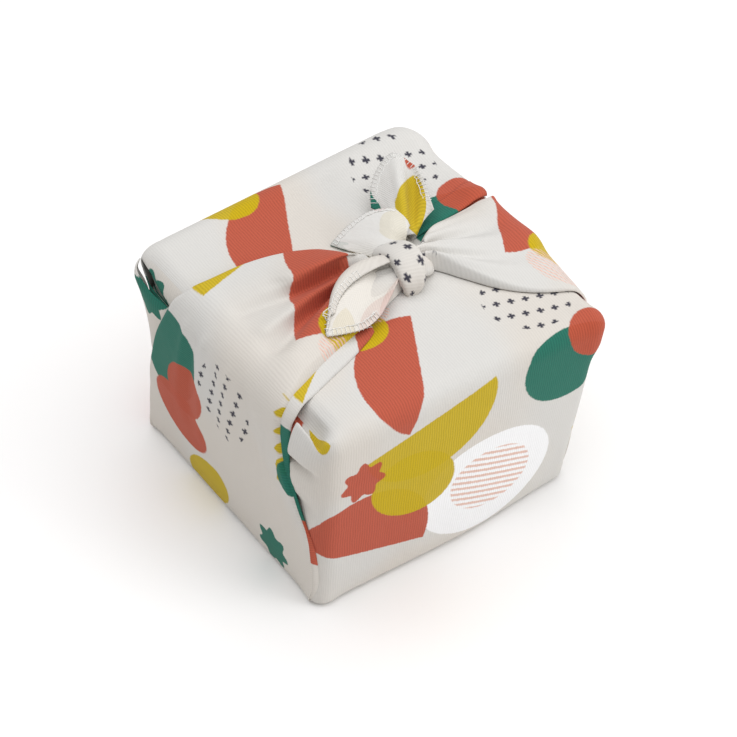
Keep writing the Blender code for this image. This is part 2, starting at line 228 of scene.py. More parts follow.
def bundleObject(name, bundle, plan, ripple, materials):
    # a soft closed bundle down its table, its width lying along wideWay
    rows, cells = bundle["rows"], bundle["cells"]
    near = 0.02  # share of its length over which its run is taken
    blunt = 6  # how squarely its ends close
    bm = bmesh.new()
    bmesh.ops.create_uvsphere(bm, u_segments=cells[1], v_segments=cells[0], radius=1)
    plans = {}
    for vert in bm.verts:
        turn = math.atan2(vert.co.y, vert.co.x)
        share = 0.5 - math.asin(max(-1.0, min(1.0, vert.co.z))) / math.pi
        x, y, z, wide, thick = readRows(rows, share)
        ahead = Vector(readRows(rows, share + near)[:3]) - Vector(readRows(rows, share - near)[:3])
        ahead.normalize()
        side = Vector(bundle["wideWay"])
        side = (side - ahead * side.dot(ahead)).normalized()
        rise = side.cross(ahead)
        girth = math.sqrt(max(0.0, 1 - (2 * share - 1) ** blunt)) * (1 + ripple(share, turn))
        aside, above = wide * girth * math.cos(turn), thick * girth * math.sin(turn)
        vert.co = (Vector((x, y, z)) + side * aside + rise * above) * mm
        plans[vert] = plan(share, turn)
    putPlans(bm, plans)
    bmesh.ops.remove_doubles(bm, verts=bm.verts, dist=1e-6)
    bmesh.ops.recalc_face_normals(bm, faces=bm.faces)
    return meshObject(name, bm, materials)


def joinedObject(name, parts):
    # modifiers made real, then one mesh
    graph = bpy.context.evaluated_depsgraph_get()
    for part in parts:
        part.data = bpy.data.meshes.new_from_object(part.evaluated_get(graph))
        part.modifiers.clear()
    whole = parts[0]
    with bpy.context.temp_override(active_object=whole, object=whole, selected_editable_objects=parts):
        bpy.ops.object.join()
    whole.name = name
    whole.data.name = name
    return whole


def addNode(tree, kind, settings=None, inputs=()):
    # settings in one word are the operation; inputs, in order or by name, are values or outputs of
    # other nodes; it gives the new node's outputs
    node = tree.nodes.new("ShaderNode" + kind)
    if isinstance(settings, str):
        settings = {"operation": settings}
    for key, value in (settings or {}).items():
        setattr(node, key, value)
    for key, value in inputs.items() if isinstance(inputs, dict) else enumerate(inputs):
        if isinstance(value, bpy.types.NodeSocket):
            tree.links.new(value, node.inputs[key])
        else:
            node.inputs[key].default_value = value
    return node.outputs


def newMaterial(name, values):
    # a material, its nodes and its shader's inputs with these values
    material = bpy.data.materials.new(name)
    material.use_nodes = True
    tree = material.node_tree
    inputs = tree.nodes["Principled BSDF"].inputs
    for key, value in values.items():
        inputs[key].default_value = value
    return material, tree, inputs


printing = {
    "repeat": 220,  # mm of cloth, both ways
    "shift": (0, 46, 0),  # where the repeat starts, mm
    "edgeRagged": 0.5,  # mm that ink creeps along the threads
    "edgeSoft": 0.3,  # mm
    "colours": {
        "rust": "#b85138", "mustard": "#c4a900", "teal": "#006a58",
        "white": "#efeff0", "navy": "#2f2e3d", "blush": "#e3bdae",
    },
    # plain shapes in painting order: kind, middle, half sizes (mm), turn (degrees), colour
    "shapes": (
        ("disc", (18, -70), (42, 33), 12, "white"),
        ("halfMoon", (-18, 56), (36, 31), 118, "rust"),
        ("disc", (-30, 18), (17, 13), 20, "mustard"),
        ("halfMoon", (-58, -62), (40, 40), 196, "rust"),
        ("disc", (-30, -96), (26, 20), 30, "mustard"),
        ("hatch", (20, -72), (27, 20), 24, "blush"),
        ("crosses", (53, 42), (22, 20), 14, "navy"),
        ("halfMoon", (-22, 86), (38, 34), -14, "mustard"),
        ("disc", (62, 92), (30, 24), 24, "teal"),
        ("disc", (76, 78), (19, 15), 40, "rust"),
        ("sprig", (44, -6), (24, 12), 8, "mustard"),
        ("disc", (61, -14), (12, 13), 0, "teal"),
        ("flower", (-60, 106), (11, 11), 10, "rust"),
        ("disc", (98, 84), (15, 24), 10, "rust"),
        ("disc", (-94, 62), (13, 20), -24, "mustard"),
        ("crosses", (92, -70), (16, 15), 30, "mustard"),
        ("flower", (-97, 4), (11, 11), 20, "teal"),
        ("hatch", (-18, 6), (15, 10), 60, "blush"),
    ),
}
# sizes in the unit circle that a shape is drawn in
motifs = {
    "petals": 7,
    "petalDepth": 0.16,
    "hatchStep": 0.09,  # half of it
    "hatchBare": 0.052,  # half the gap between two strokes
    "crossStep": (0.17, 0.23),  # half of it, across and up
    "crossArm": 0.085,
    "crossStroke": 0.032,  # half its width
    "leafSlant": 0.42,
    "leafStep": 0.25,  # half of it
    "leafWidth": 0.2,  # half of it
    "leafLength": 0.55,  # at the middle of the stem
    "leafShrink": 0.45,  # towards the tip
    "stemWidth": 0.07,  # half of it
}
cotton = {
    "grounds": ("#cfcdc9", "#d0cac2"),  # it drifts between a cooler and a warmer off-white
    "reverses": ("#d9d7d3", "#dad5cd"),
    "driftRange": (0.4, 0.6),  # of the noise that sets the shade
    "inkStrength": 0.97,
    "showThrough": 0.16,  # how much of the print reaches the reverse
    "ribPitch": 1.4,  # mm between the fine ribs of the twill
    "ribWaver": 5.0,
    "paintedGrooveShade": (0.10, 0.42),  # painted shade: how much darker a groove is painted, bare and under ink
    # painted light: the colour between the grooves is lifted by this much
    "paintedRidgeLight": 1.04,
    # noise over the flat cloth: size (mm), detail, roughness
    "noises": {
        "creep": (1.6, 2.0, 0.7),  # of the ink along the threads
        "drift": (90, 1.0, 0.5),  # of the shade of the ground
        "waver": (9, 2.0, 0.5),  # of the ribs
        "grain": (0.5, 1.0, 0.5),  # of the yarn, drawn coarser than it is to show
        "crumple": (16, 3.0, 0.45),
    },
    # strength, depth (mm)
    "reliefs": {"crumple": (0.5, 0.9), "rib": (0.6, 0.05), "grain": (0.5, 0.06)},
    "shader": {
        "Roughness": 0.86, "Specular IOR Level": 0.2, "IOR": 1.5,
        "Sheen Weight": 0.05, "Sheen Roughness": 0.6,  # loose fibre ends
    },
}


def shapeDepth(tree, kind, spot):
    # how far inside a shape a spot lies, and 0 on its edge
    far = addNode(tree, "VectorMath", "LENGTH", [spot])["Value"]
    disc = addNode(tree, "Math", "SUBTRACT", [1.0, far])[0]
    if kind == "disc":
        return disc
    axes = addNode(tree, "SeparateXYZ", None, [spot])
    if kind == "halfMoon":
        return addNode(tree, "Math", "MINIMUM", [disc, axes["Y"]])[0]
    if kind == "flower":
        turn = addNode(tree, "Math", "ARCTAN2", [axes["Y"], axes["X"]])[0]
        turn = addNode(tree, "Math", "MULTIPLY", [turn, motifs["petals"]])[0]
        petals = addNode(tree, "Math", "COSINE", [turn])[0]
        return addNode(tree, "Math", "MULTIPLY_ADD", [petals, motifs["petalDepth"], disc])[0]
    if kind == "hatch":
        strokes = addNode(tree, "Math", "PINGPONG", [axes["Y"], motifs["hatchStep"]])[0]
        strokes = addNode(tree, "Math", "SUBTRACT", [strokes, motifs["hatchBare"]])[0]
        return addNode(tree, "Math", "MINIMUM", [disc, strokes])[0]
    if kind == "crosses":
        # every second row of little crosses is shifted by half a step
        stepX, stepY = motifs["crossStep"]
        row = addNode(tree, "Math", "DIVIDE", [axes["Y"], 2 * stepY])[0]
        row = addNode(tree, "Math", "ROUND", [row])[0]
        across = addNode(tree, "Math", "MULTIPLY_ADD", [row, stepX, axes["X"]])[0]
        steps = addNode(tree, "CombineXYZ", None, {"X": across, "Y": axes["Y"]})[0]
        steps = addNode(tree, "VectorMath", "WRAP", [steps, (stepX, stepY, 1), (-stepX, -stepY, -1)])[0]
        steps = addNode(tree, "VectorMath", "ABSOLUTE", [steps])[0]
        arms = addNode(tree, "SeparateXYZ", None, [steps])
        short = addNode(tree, "Math", "MINIMUM", [arms["X"], arms["Y"]])[0]
        long = addNode(tree, "Math", "MAXIMUM", [arms["X"], arms["Y"]])[0]
        short = addNode(tree, "Math", "SUBTRACT", [motifs["crossStroke"], short])[0]
        long = addNode(tree, "Math", "SUBTRACT", [motifs["crossArm"], long])[0]
        cross = addNode(tree, "Math", "MINIMUM", [short, long])[0]
        return addNode(tree, "Math", "MINIMUM", [disc, cross])[0]
    # a sprig: a stem along X with slanting pointed leaves on both sides, smaller towards the tip
    step, width = motifs["leafStep"], motifs["leafWidth"]
    aside = addNode(tree, "Math", "ABSOLUTE", [axes["Y"]])[0]
    slant = addNode(tree, "Math", "MULTIPLY_ADD", [aside, -motifs["leafSlant"], axes["X"]])[0]
    along = addNode(tree, "Math", "WRAP", [slant, step, -step])[0]
    along = addNode(tree, "Math", "MULTIPLY", [along, 1 / width])[0]
    along = addNode(tree, "Math", "ABSOLUTE", [along])[0]
    size = addNode(tree, "Math", "MULTIPLY_ADD", [slant, -motifs["leafShrink"], motifs["leafLength"]])[0]
    reach = addNode(tree, "Math", "DIVIDE", [aside, size])[0]
    reach = addNode(tree, "Math", "MULTIPLY_ADD", [reach, 2.0, -1.0])[0]
    bow = addNode(tree, "Math", "MULTIPLY", [reach, reach])[0]
    bow = addNode(tree, "Math", "SUBTRACT", [1.0, bow])[0]
    leaf = addNode(tree, "Math", "SUBTRACT", [bow, along])[0]
    leaf = addNode(tree, "Math", "MULTIPLY", [leaf, width])[0]
    stem = addNode(tree, "Math", "SUBTRACT", [motifs["stemWidth"], aside])[0]
    both = addNode(tree, "Math", "MAXIMUM", [leaf, stem])[0]
    ends = addNode(tree, "Math", "ABSOLUTE", [axes["X"]])[0]
    ends = addNode(tree, "Math", "SUBTRACT", [1.0, ends])[0]
    return addNode(tree, "Math", "MINIMUM", [both, ends])[0]


def cottonTwill(name, grounds, inkStrength):
    # cotton twill, woven, then screen printed on one side: dull, slightly fuzzy, with fine ribs in its
    # bump and painted shade in their grooves, flat opaque inks with ragged edges, and a paler ghost of
    # them on the reverse
    material, tree, shader = newMaterial(name, cotton["shader"])
    plan = addNode(tree, "UVMap", {"uv_map": planName})["UV"]
    plan = addNode(tree, "VectorMath", "SCALE", {0: plan, "Scale": 1 / mm})[0]
    noises = {}
    for key, (size, detail, roughness) in cotton["noises"].items():
        inputs = {"Vector": plan, "Scale": 1 / size, "Detail": detail, "Roughness": roughness}
        noises[key] = addNode(tree, "TexNoise", {"noise_dimensions": "2D"}, inputs)

    # ink creeps unevenly along the threads
    creep = addNode(tree, "VectorMath", "SUBTRACT", [noises["creep"]["Color"], (0.5, 0.5, 0.5)])[0]
    ragged = printing["edgeRagged"] * 2
    spread = addNode(tree, "VectorMath", "MULTIPLY_ADD", [creep, (ragged, ragged, 0), plan])[0]
    spread = addNode(tree, "VectorMath", "ADD", [spread, printing["shift"]])[0]
    half = printing["repeat"] / 2
    tile = addNode(tree, "VectorMath", "WRAP", [spread, (half, half, 1), (-half, -half, -1)])[0]

    # slow drift of shade over the ground
    low, high = cotton["driftRange"]
    drift = {"From Min": low, "From Max": high, "Value": noises["drift"]["Fac"]}
    drift = addNode(tree, "MapRange", {"interpolation_type": "SMOOTHSTEP"}, drift)[0]
    colour = {"A": linear(grounds[0]), "B": linear(grounds[1]), "Factor": drift}
    colour = addNode(tree, "Mix", {"data_type": "RGBA"}, colour)["Result"]
    inked = None
    for kind, middle, halfSizes, turn, ink in printing["shapes"]:
        # shapes that cross the edge of the repeat are drawn again on its far side
        for sideX, sideY in product((-1, 0, 1), repeat=2):
            x, y = middle[0] + sideX * half * 2, middle[1] + sideY * half * 2
            if max(abs(x), abs(y)) - max(halfSizes) > half:
                continue
            spot = addNode(tree, "Mapping", {"vector_type": "TEXTURE"}, {
                "Vector": tile,
                "Location": (x, y, 0),
                "Rotation": (0, 0, math.radians(turn)),
                "Scale": (halfSizes[0], halfSizes[1], 1),
            })[0]
            depth = shapeDepth(tree, kind, spot)
            soft = printing["edgeSoft"] / min(halfSizes)
            mask = {"Value": depth, "From Min": -soft, "From Max": soft, "To Max": inkStrength}
            mask = addNode(tree, "MapRange", None, mask)[0]
            colour = {"A": colour, "B": linear(printing["colours"][ink]), "Factor": mask}
            colour = addNode(tree, "Mix", {"data_type": "RGBA"}, colour)["Result"]
            if ink == "white":
                continue
            inked = mask if inked is None else addNode(tree, "Math", "MAXIMUM", [inked, mask])[0]

    # ribs along the cloth's Y, a little wavy; painted shade darkens the grooves, most of all under ink,
    # and painted light lifts the colour between them
    axes = addNode(tree, "SeparateXYZ", None, [plan])
    turn = addNode(tree, "Math", "MULTIPLY", [axes["X"], 2 * math.pi / cotton["ribPitch"]])[0]
    turn = addNode(tree, "Math", "MULTIPLY_ADD", [noises["waver"]["Fac"], cotton["ribWaver"], turn])[0]
    rib = addNode(tree, "Math", "SINE", [turn])[0]
    grain = noises["grain"]["Fac"]
    grooveShade = addNode(tree, "MapRange", None, {"Value": rib, "From Min": 1.0, "From Max": -1.0})[0]
    grooveShade = addNode(tree, "Math", "MULTIPLY", [grooveShade, grain])[0]
    bare, underInk = cotton["paintedGrooveShade"]
    depth = addNode(tree, "MapRange", None, {"Value": inked, "To Min": bare, "To Max": underInk})[0]
    depth = addNode(tree, "Math", "MULTIPLY", [grooveShade, depth])[0]
    shade = addNode(tree, "Math", "SUBTRACT", [cotton["paintedRidgeLight"], depth])[0]
    colour = addNode(tree, "VectorMath", "SCALE", {0: colour, "Scale": shade})[0]
    tree.links.new(colour, shader["Base Color"])

    heights = {"crumple": noises["crumple"]["Fac"], "rib": rib, "grain": grain}
    relief = {}
    for key, (strength, depth) in cotton["reliefs"].items():
        inputs = {"Height": heights[key], "Strength": strength, "Distance": depth * mm, **relief}
        relief = {"Normal": addNode(tree, "Bump", None, inputs)["Normal"]}
    tree.links.new(relief["Normal"], shader["Normal"])
    return material


printed = cottonTwill("wovenCottonTwillPrinted", cotton["grounds"], cotton["inkStrength"])
reverse = cottonTwill("wovenCottonTwillReverse", cotton["reverses"], cotton["showThrough"])
cloths = (printed, reverse)
reverseUp = (reverse, printed)
print("wrap: cloth materials,", len(printed.node_tree.nodes), "nodes in each")

# almond-shaped pocket at the left corner: across the -X wall, its middle's height, half its own height
pocketRows = (
    (48, 98.5, 0.4), (56, 100.4, 2.2), (66, 103.6, 4.8), (74, 106, 5.4), (80, 108.4, 2.4),
)
pleat = {
    "cells": (120, 10),
    "swell": 0.5,
    "outerEdge": (0.7, 0.8),  # it rounds over from this share across, by this many mm
    "planShare": 0.5,
    "rows": (
        # up, inner edge, outer edge, lift
        (4, -68, -75, -0.6), (16, -69, -77, 0.4), (43, -64, -72, 0.8), (60, -55, -62, 0.9),
        (72, -48, -55.5, 0.9), (84, -44, -52, 0.9), (98, -40, -51.5, 0.9), (115, -38, -51.5, 0.9),
        (127, -35, -49, 0.9), (143, -29, -44, 0.9), (160, -25, -38.5, 1), (172, -23, -33.5, 1.2),
        (176, -23, -31, 1.2),
    ),
}
dart = {
    "comesUp": 3 * mm,  # how far beyond the pleat's edge it stands out fully
    "across": (-78 * mm, -38 * mm),  # the shell is twice as fine here
    "up": (50 * mm, 117 * mm),
    "stations": (-48 * mm, -62 * mm, -77 * mm),  # at the pleat, halfway, and where it has died out
    "hidden": (-44 * mm, -36 * mm),  # where it dies out under the tied end
    "rows": (
        # at the pleat: up, out, rise; then halfway: up, out, rise (mm)
        (48, 0, 0, 48, 0, 0), (56, -2, 0, 56, -1, 0), (63, -3.4, 0, 63, -1.6, 0),
        (70, 1, -1.5, 70, 0.2, -0.5), (77, 3, -1, 78, 1.6, -0.5), (83, 1, 0, 84, 0.6, 0),
        (87, -8, -1, 88, -1.8, 0), (91, -2, -2, 91, -0.8, 0), (95, 3.6, -1.5, 95, 2.8, -1),
        (100, 2.8, 2.5, 100, 2.2, 3), (104, 0.6, 6, 103, 0.6, 5.5),
        (106.5, -1.2, 6.6, 105, -1, 6), (109, -2, 1.5, 107.5, -2.2, 0),
        (111.5, -2.4, -4, 110, -3, -6), (116, -2.6, -4.5, 115.5, -3.4, -6.4),
        (121, -2.4, -2.8, 121, -2.8, -4.4), (126, -1, -1.2, 126, -1, -1.8), (131, 0, 0, 131, 0, 0),
    ),
}
hiddenSplit = -4 * mm  # where the two folded corners meet on top, under the tied ends


def dartShift(x, y, place):
    # the folds of the front corner, on the -X wall and over its top edge
    first, halfway, last = dart["stations"]
    up = place.z + halfX + max(x, -halfX)
    if x > 0 or y < last or place.z < dart["up"][0] or up > dart["rows"][-1][0] * mm:
        return Vector()
    along = blend(-first, -halfway, -y)
    rows = [[between(*ends, along) for ends in zip(row[:3], row[3:])] for row in dart["rows"]]
    stand, rise = readRows(rows, up / mm)
    beyondPleat = blend(0, dart["comesUp"], readRows(pleat["rows"], up / mm)[1] * mm - y)
    stand, rise = (value * beyondPleat if value > 0 else value for value in (stand, rise))
    return Vector((-stand, 0, rise)) * mm * blend(last, halfway, y) * (1 - blend(*dart["hidden"], y))


def onBox(place):
    # from the cube to the plain box, with the grid lines drawn towards its edges
    x, y, z = (share * (1.5 - 0.5 * share * share) for share in place)
    return x * halfX, y * halfY, (z + 1) * tall / 2


def shellPlan(side, x, y, z):
    # where a point of the plain box lies on the flat cloth
    back = y > hiddenSplit
    turned = halfY - y if back else halfY + y  # distance round the vertical edge
    if side == "top":
        return (x, halfY + tall + turned) if back else (x, -(halfY + tall + turned))
    if side == "foot":
        return (x, y)
    if side == "alongY":
        return (x, math.copysign(halfY + z, y))
    return (math.copysign(halfX + turned, x), math.copysign(halfY + z, y - hiddenSplit))


def makeShell():
    bm = bmesh.new()
    planLayer = bm.loops.layers.uv.new(planName)
    bmesh.ops.create_cube(bm, size=2)
    bmesh.ops.subdivide_edges(bm, edges=bm.edges, cuts=wrap["cells"] - 1, use_grid_fill=True)
    fineEdges = set()
    near, far = dart["across"]
    low, high = dart["up"]
    wallFrom = -0.8 * halfX  # beyond it are the -X wall and the edge of the top
    for face in bm.faces:
        x, y, z = onBox(face.calc_center_median())
        if x < wallFrom and near < y < far and low < z < high:
            fineEdges.update(face.edges)
    bmesh.ops.subdivide_edges(bm, edges=list(fineEdges), cuts=1, use_grid_fill=True)
    flatEnough = 0.9999  # for a face on that side of the cube
    boxed = {vert: onBox(vert.co) for vert in bm.verts}
    sides, inPocket = {}, []
    for face in bm.faces:
        centre = face.calc_center_median()
        if centre.z > flatEnough:
            sides[face] = "top"
        elif centre.z < -flatEnough:
            sides[face] = "foot"
        elif abs(centre.y) > flatEnough:
            sides[face] = "alongY"
        else:
            sides[face] = "alongX"
            across, up = (length / mm for length in onBox(centre)[1:])
            middle, half = readRows(pocketRows, across)
            inside = pocketRows[0][0] < across < pocketRows[-1][0] and abs(up - middle) < half
            if centre.x < 0 and inside:
                inPocket.append(face)
    for face in bm.faces:
        for loop in face.loops:
            loop[planLayer].uv = shellPlan(sides[face], *boxed[loop.vert])
    rim = {}
    pocketVerts = {vert for face in inPocket for vert in face.verts}
    bmesh.ops.delete(bm, geom=inPocket, context="FACES")
    for vert in pocketVerts:
        if vert.is_valid and vert.is_boundary:
            across, up = (length / mm for length in boxed[vert][1:])
            middle, half = readRows(pocketRows, across)
            rim[vert] = (middle + math.copysign(half, up - middle)) * mm
    for vert in bm.verts:
        x, y, z = boxed[vert]
        place, out = wrapped(x, y, rim.get(vert, z))
        place += dartShift(x, y, place) + foldShift(place, out, wrap["hollows"])
        vert.co = place + out * slackRise(place) * blend(0, wrap["slackFrom"], place.z)
    return thickened(meshObject("shell", bm, cloths), -1)


# the two tied ends, each from the foot of its wall to the knot
frontFlap = {
    "side": -1,
    "cells": (120, 108),
    # each side is folded under: up, radius
    "edgeRolls": ((2, 0.7), (50, 1.0), (90, 2.2), (116, 2.4), (150, 2.0), (205, 1.6)),
    "gathered": (118, 186),
    "rows": (
        # up, left, right, lift, swell
        (2, 72, -72, -1.7, 0), (14, 73, -73, 0, 0), (30, 72, -72, 0.2, 0.3), (46, 70, -69, 0.3, 0.8),
        (60, 66, -60.5, 0.4, 1.2), (78, 60, -51, 0.5, 1.5), (97, 51, -46, 0.6, 1.2),
        (115, 42.5, -45, 0.8, 0.8), (126, 40, -42, 0.8, 0.6), (148, 39, -34, 0.8, 0.4),
        (166, 35, -29, 1, 0.4), (182, 27, -24, 1.6, 0.5), (194, 14, -19, 2.4, 0.6),
        (205, 4, -15, 3, 0.6),
    ),
    "gathers": (
        (0, 0.4), (0.1, 2.2), (0.26, 4.2), (0.38, 3.6), (0.46, 0.2), (0.54, 0.6), (0.6, 0.2),
        (0.7, 0.8), (0.84, 1.4), (0.94, 1), (1, 0.6),
    ),
    "folds": (
        ("upper fold", (12, 15, 120), (-38, 17, 119), (3.2, 5), (5.6, 3.2), (0, -1.5, 0)),
        ("valley", (2, 5, 120), (-14, 3, 119.8), (2.6, 3), (-4.4, -5)),
        ("near valley", (-15, 2.5, 119.8), (-66, -17, 117), (2.6, 6), (-7.6, -3)),
        ("far valley", (-16, 8, 119.8), (-66, 11, 117.2), (2.2, 5), (-6.6, -2.8)),
        ("middle ridge", (-16, 5.5, 119.8), (-66, -4, 117.2), (1.7, 4.6), (3.2, 2.2), (0, -0.8, 0)),
        ("near roll", (-18, -5, 119.8), (-66, -30, 117), (4.4, 9), (4.2, 3.4), (0, 0.5, 0)),
        ("pull down the wall", (-83, -2, 108), (-82, -16, 40), (10, 14), (1, 0.4)),
        ("slack beside the pull", (-82, 26, 108), (-82, 30, 50), (7, 10), (-0.7, -0.4)),
        ("crease 1", (-22, 12, 119.6), (-66, 22, 117.2), (1.4, 3.4), (-1.4, -0.5)),
        ("crease 2", (-18, 5, 119.8), (-50, 5, 118.4), (1.3, 2.4), (-1, -0.4)),
        ("crease 3", (-18, 1, 119.8), (-52, -8, 118.4), (1.3, 2.6), (-1, -0.5)),
        ("crease 4", (-18, -3, 119.8), (-54, -22, 118.2), (1.4, 3), (-1, -0.5)),
        ("long crease", (-30, 14, 119.3), (-78, 16, 112), (2, 5), (-0.6, -0.4)),
        ("lit pull", (-40, -12, 118), (-80, -22, 96), (3, 7), (0.7, 0.5)),
        ("wrinkle 1", (-82, 30, 106), (-81, 40, 52), (2.4, 4.4), (1.2, 0.5)),
        ("wrinkle 2", (-82, 22, 104), (-81, 31, 44), (2.2, 4), (-1.1, -0.5)),
        ("wrinkle 3", (-82, 14, 108), (-81, 20, 40), (2.4, 4.4), (1.1, 0.5)),
        ("wrinkle 4", (-83, 4, 102), (-81, 6, 30), (2.8, 5), (-1, -0.5)),
        ("wrinkle 5", (-83, -8, 106), (-81, -14, 24), (2.8, 5), (1.1, 0.6)),
        ("wrinkle 6", (-83, -20, 104), (-81, -34, 36), (2.8, 5), (-1.1, -0.6)),
        ("wrinkle 7", (-82, -31, 98), (-81, -48, 34), (2.6, 5), (1, 0.5)),
    ),
}
backFlap = {
    "side": 1,
    "cells": (84, 80),
    "edgeRolls": ((2, 0.3), (50, 0.45), (90, 1.0), (116, 1.1), (142, 1.3), (160, 3.0), (182, 3.6)),
    "gathered": (112, 156),
    "rows": (
        (2, 72, -72, -1.7, 0), (14, 73, -73, 0, 0), (30, 72, -72, 0.2, 0.5), (55, 62, -72, 0, 0.6),
        (80, 42, -69, 0, 1.4), (100, 26, -63, 0, 1.8), (115, 19, -57, 0, 1.8),
        (126, 16.5, -54.5, 0, 1.6), (141, 14.5, -47, 0.2, 1.4), (153, 12.5, -37, 0.7, 1),
        (163, 8, -24, 1.6, 0.8), (172, 1, -12, 3.2, 0.6), (182, -2, -8, 4.4, 0.4),
    ),
    "gathers": (
        (0, 0.6), (0.12, 3.6), (0.22, 2.6), (0.28, 0.2), (0.4, 3.4), (0.52, 2.8), (0.6, 0.2),
        (0.76, 2.6), (0.9, 1.2), (1, 0.2),
    ),
    "folds": (
        ("pull down the wall", (82, -14, 112), (82, -24, 40), (10, 14), (1, 0.4)),
        ("crease 1", (30, 3, 119.5), (66, 8, 117.4), (1.1, 2.8), (-1.5, -0.3)),
        ("crease 2", (30, -1, 119.5), (66, -6, 117.4), (1.1, 2.8), (-1.5, -0.4)),
        ("crease 3", (30, -5, 119.5), (64, -18, 117.4), (1.1, 3), (-1.3, -0.4)),
        ("crease 4", (30, -9, 119.4), (62, -30, 117.3), (1.2, 3.2), (-1.1, -0.3)),
        ("shoulder over the edge", (79, 18, 113), (81, -14, 112), (9, 9), (2.8, 2.2)),
        ("edge pressed down", (40, 12, 118.8), (78, 18, 116.4), (3, 3.5), (-1.4, -1.8)),
    ),
}


def flapSurface(flap):
    # from its foot (along 0) to the knot (1) and from +Y (across 0) to -Y
    rows, side = flap["rows"], flap["side"]

    def surface(along, across):
        across = 0.5 - 0.5 * math.cos(math.pi * across)  # more points where it rolls over
        up = between(rows[0][0], rows[-1][0], along)
        left, right, lift, swell = readRows(rows, up)
        reach = between(left, right, across) * mm
        place, out = onSide(up * mm, reach, side)
        rise = (lift + swell * math.sin(math.pi * across)) * mm
        rise += readRows(flap["gathers"], across)[0] * mm * blend(*flap["gathered"], up)
        rise += slackRise(place)
        radius = readRows(flap["edgeRolls"], up)[0] * mm
        toEdge = min(1.0, min(across, 1 - across) * (left - right) * mm / radius)
        rolled = radius * math.sqrt(1 - (1 - toEdge) ** 2)
        folded = (out * rise + foldShift(place, out, flap["folds"])) * toEdge
        return place + folded + out * (wrap["cloth"] + rolled), (side * (halfX + up * mm), reach)

    return surface


# the layer tucked behind the front tied end
tuck = {
    "cells": (34, 30),
    "foot": 52,
    "clear": 0.2,  # mm off the wall at least
    "bow": 1.5,  # how late it leaves the wall on its way up
    "turnedIn": (0.9, 1.0),  # the share up from which its top turns in, and how far (mm)
    "sunk": 0.9,  # mm, where its foot and its outer edge run into the cloth behind
    "sunkShares": (0.15, 0.9),  # up to this share up, and from this share across
    "rows": (
        # across, top, stand-off
        (38, 97, 0.2), (46, 99, 0.6), (54, 101, 2.6), (61, 102.5, 4.2), (67, 104.5, 4.6),
        (72, 108, 4.6), (76, 111.5, 2.6),
    ),
}


def pleatSurface(along, across):
    rows = pleat["rows"]
    up = between(rows[0][0], rows[-1][0], along)
    inner, outer, lift = readRows(rows, up)
    reach = between(inner, outer, across) * mm
    place, out = onSide(up * mm, reach, -1)
    roundFrom, roundBy = pleat["outerEdge"]
    lift += pleat["swell"] * math.sin(math.pi * across) - roundBy * blend(roundFrom, 1.0, across)
    return place + out * lift * mm, (-(halfX + up * mm), -halfY - up * mm * pleat["planShare"] + reach)


def tuckSurface(along, across):
    rows = tuck["rows"]
    reach = between(rows[0][0], rows[-1][0], across)
    top, standOff = readRows(rows, reach)
    up = between(tuck["foot"], top, along)
    place, out = onSide(up * mm, reach * mm, -1)
    turnFrom, turnBy = tuck["turnedIn"]
    footShare, edgeShare = tuck["sunkShares"]
    sunk = tuck["sunk"] * max(1 - blend(0, footShare, along), blend(edgeShare, 1.0, across))
    off = standOff * blend(0, 1, along) ** tuck["bow"] + tuck["clear"]
    off -= turnBy * blend(turnFrom, 1.0, along) + sunk
    return place + out * off * mm, (-(halfX + halfY - reach * mm), halfY + up * mm)


backLip = {
    "cells": (40, 16),
    "across": 13,
    "clear": 0.1,  # mm off the top at least
    "edgeDip": 0.35,  # the share of its lift that its very edge loses
    "edgeShare": 1 / 6,  # how much of it that edge takes
    "rows": (
        # x, nearest y, lift
        (30, 10.5, 0.6), (44, 12.5, 1.8), (60, 15, 2.4), (74, 18, 2.6), (82, 20, 2.2),
    ),
}


def backLipSurface(along, across):
    # the edge of the back corner stands off behind the back tied end, with a dark slit under it
    rows = backLip["rows"]
    x = between(rows[0][0], rows[-1][0], along)
    nearest, lift = readRows(rows, x)
    x, y = x * mm, (nearest + backLip["across"] * across) * mm
    place, out = wrapped(x, y, tall)
    dip = backLip["edgeDip"] * (1 - min(1, across / backLip["edgeShare"])) ** 2
    off = lift * (1 - blend(0, 1, across)) * (1 - dip) + backLip["clear"]
    return place + out * off * mm, shellPlan("top", x, y, tall)


# layers folded away inside: name, side, how deep (mm), up from and to, across from and to, cells
innerLayers = (
    ("innerLeft", -1, 2.4, (4, 96), (73, -40), (12, 16)),
    ("innerRight", 1, 2.4, (4, 106), (73, -73), (12, 16)),
    ("innerTop", -1, 9, (130, 266), (68, -58), (20, 16)),
    ("innerCorner", -1, 3.6, (70, 111), (76, 30), (12, 12)),
)


def innerSurface(side, depth, upRange, reachRange):
    # a layer pressed against the inside of the wall or the top
    def surface(along, across):
        up, reach = between(*upRange, along) * mm, between(*reachRange, across) * mm
        place, out = onSide(up, reach, side)
        plan = (side * (halfX + halfY - abs(reach)), math.copysign(halfY + up, reach))
        return place - out * depth * mm, plan

    return surface


